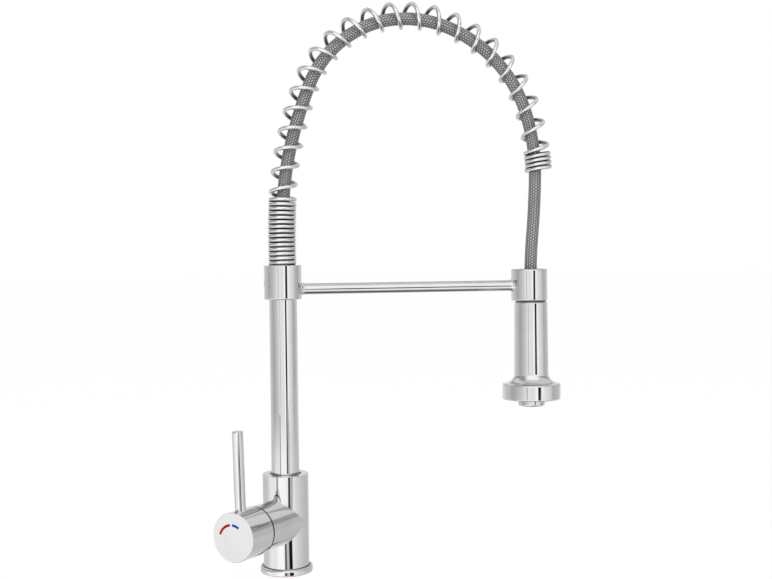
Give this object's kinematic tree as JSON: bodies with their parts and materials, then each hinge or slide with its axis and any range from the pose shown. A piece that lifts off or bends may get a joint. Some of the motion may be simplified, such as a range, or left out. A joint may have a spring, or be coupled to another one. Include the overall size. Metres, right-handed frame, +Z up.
{
  "type": "spring kitchen faucet",
  "caption": "Chrome single-lever kitchen mixer with a swivelling riser, an arched spring over a braided hose and a pull-down spray head docked in an arm.",
  "frame": {"origin": "on the deck plane, on the column's axis", "axes": "+Z up along the column, +X along the arm from the riser to the spray head"},
  "size_m": [0.3469, 0.1041, 0.5454],
  "materials": {
    "chrome": "polished",
    "brass": "machined",
    "steel": "machined",
    "rubber": "matte",
    "ceramic": "lapped ceramic",
    "plastic": "moulded",
    "grey_plastic": "moulded",
    "braid": "braided"
  },
  "bodies": {
    "column": {"base_ring": "chrome", "base_gasket": "rubber", "mixer_body": "chrome", "swivel_bush": "plastic", "lock_screw": "steel", "cartridge_base": "plastic", "cartridge_port_seals": "rubber", "fixed_disc": "ceramic", "cartridge_shell": "plastic", "cartridge_nut": "brass"},
    "temperature_rotor": {"spindle_guide": "plastic", "pivot_pin": "steel"},
    "handle": {"lever_spindle": "brass", "handle_cap": "chrome", "handle_grub_screw": "steel", "lever_pin": "chrome"},
    "disc_pair": {"moving_disc": "ceramic", "disc_carrier": "plastic"},
    "spout": {"riser_foot": "brass", "riser_o_rings": "rubber", "riser_tube": "chrome", "arm_collar": "chrome", "collar_screw": "steel", "arm_rod": "chrome", "dock_ring": "chrome", "ring_liner": "plastic", "hose_adapter": "brass", "adapter_seal": "rubber", "spring_seat": "plastic", "spring": "chrome", "spray_hose": "braid", "hose_ferrule_upper": "steel"},
    "spray_head": {"head_neck": "brass", "hose_tail": "brass", "hose_ferrule_lower": "steel", "tail_washer": "rubber", "check_valve": "plastic", "spray_shell": "chrome", "flow_tube": "plastic", "tube_seal": "rubber", "spray_plate": "grey_plastic", "nozzle_housing": "chrome", "aerator_insert": "plastic", "aerator_seal": "rubber"}
  },
  "joints": [
    {"name": "spout_swivel", "type": "hinge", "parent": "column", "child": "spout", "pos_m": [0, 0, 0.09], "axis": [0, 0, 1], "continuous": true},
    {"name": "handle_temperature", "type": "hinge", "parent": "column", "child": "temperature_rotor", "pos_m": [-0.02589, -0.0285, 0.0488], "axis": [-0.6724, -0.7402, 0], "range_deg": [-50, 50]},
    {"name": "handle_flow", "type": "hinge", "parent": "temperature_rotor", "child": "handle", "pos_m": [-0.02589, -0.0285, 0.0488], "axis": [0.7402, -0.6724, 0], "range_deg": [0, 25]},
    {"name": "disc_travel", "type": "slide", "parent": "temperature_rotor", "child": "disc_pair", "axis": [0, 0, 1], "range_m": [0, 0.0038]},
    {"name": "head_pull", "type": "slide", "parent": "spout", "child": "spray_head", "axis": [0, 0, -1], "range_m": [0, 0.12], "stiffness_N_per_m": 60, "springref_m": -0.14, "deforming": ["spring", "spray_hose"]}
  ],
  "couplings": [
    {"joint": "disc_travel", "follows": "handle_flow", "m_per_rad": 0.0084}
  ]
}
